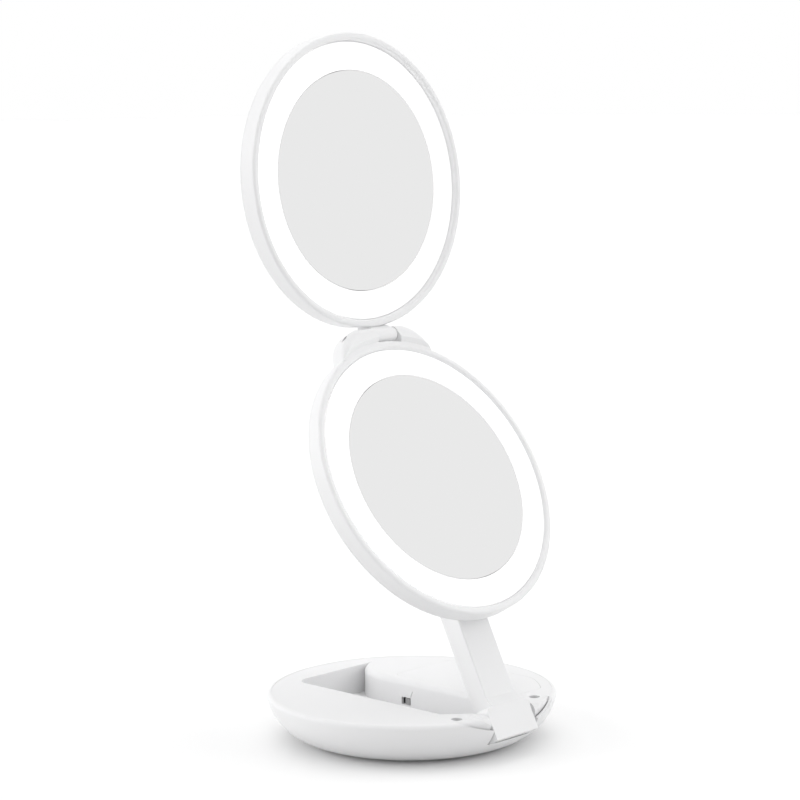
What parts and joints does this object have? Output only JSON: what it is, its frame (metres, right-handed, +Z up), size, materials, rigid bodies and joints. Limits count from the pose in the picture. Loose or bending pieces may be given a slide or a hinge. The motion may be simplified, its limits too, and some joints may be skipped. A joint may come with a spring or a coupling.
{
  "type": "folding travel mirror with lit rings",
  "caption": "White bowl-shaped base with a channelled deck, a folding arm and hinged round mirrors, each set in a lit ring.",
  "frame": {"origin": "middle of the base's underside, on the table", "axes": "+Z up, the mirrors face -Y, +X to the right of someone who looks into them"},
  "size_m": [0.1324, 0.1292, 0.3163],
  "materials": {
    "body_white": "satin moulded ABS",
    "deck_white": "satin moulded ABS",
    "inner_white": "matt moulded ABS",
    "knuckle_white": "polished acetal",
    "diffuser": "frosted, lit from behind",
    "mirror": "silvered glass",
    "steel": "zinc plated",
    "nickel": "nickel plated spring steel",
    "board_green": "solder mask",
    "board_white": "white solder mask",
    "led_yellow": "phosphor under clear resin",
    "component_black": "moulded",
    "switch_black": "moulded",
    "switch_grey": "moulded",
    "cell_sleeve": "printed sleeve",
    "pad_rubber": "matt foam",
    "wire_red": "smooth"
  },
  "bodies": {
    "base": {"base_shell": "body_white", "base_pad": "pad_rubber", "base_deck": "deck_white", "deck_screws": "steel", "base_hinge_pin": "steel", "battery_tray": "inner_white", "batteries": "cell_sleeve", "battery_contacts": "nickel", "switch_housing": "switch_black", "driver_board": "board_green", "board_components": "component_black", "base_wires": "wire_red"},
    "battery_lid": {"battery_lid": "deck_white"},
    "power_knob": {"switch_knob": "switch_grey"},
    "arm": {"arm_front_shell": "body_white", "arm_back_cover": "body_white", "arm_screws": "steel", "arm_wires": "wire_red", "tilt_pin": "steel"},
    "tilt_knuckle": {"tilt_knuckle": "knuckle_white", "swivel_retainer": "steel"},
    "lower_head": {"lower_front_frame": "body_white", "lower_mirror_tray": "inner_white", "lower_mirror_glass": "mirror", "lower_light_ring": "diffuser", "lower_led_board": "board_white", "lower_leds": "led_yellow", "lower_back_cover": "body_white", "lower_cover_screws": "steel", "mirror_hinge_pin": "steel"},
    "upper_head": {"upper_front_frame": "body_white", "upper_mirror_tray": "inner_white", "upper_mirror_glass": "mirror", "upper_light_ring": "diffuser", "upper_led_board": "board_white", "upper_leds": "led_yellow", "upper_back_cover": "body_white", "upper_cover_screws": "steel"}
  },
  "joints": [
    {"name": "arm_fold", "type": "hinge", "parent": "base", "child": "arm", "pos_m": [0, -0.0572, 0.0178], "axis": [-1, 0, 0], "range_deg": [0, 62.2]},
    {"name": "head_tilt", "type": "hinge", "parent": "arm", "child": "tilt_knuckle", "pos_m": [0, -0.01632, 0.09038], "axis": [1, 0, 0], "range_deg": [-50, 2.6]},
    {"name": "head_swivel", "type": "hinge", "parent": "tilt_knuckle", "child": "lower_head", "pos_m": [0, -0.01632, 0.09038], "axis": [0, -0.8625, 0.506], "range_deg": [0, 180]},
    {"name": "mirror_fold", "type": "hinge", "parent": "lower_head", "child": "upper_head", "pos_m": [0, 0.01902, 0.18084], "axis": [1, 0, 0], "range_deg": [-24.9, 155.1]},
    {"name": "power_slide", "type": "slide", "parent": "base", "child": "power_knob", "axis": [0, 1, 0], "range_m": [0, 0.0025]},
    {"name": "battery_lid_lift", "type": "slide", "parent": "base", "child": "battery_lid", "axis": [0, 0, -1], "range_m": [-0.012, 0]}
  ]
}
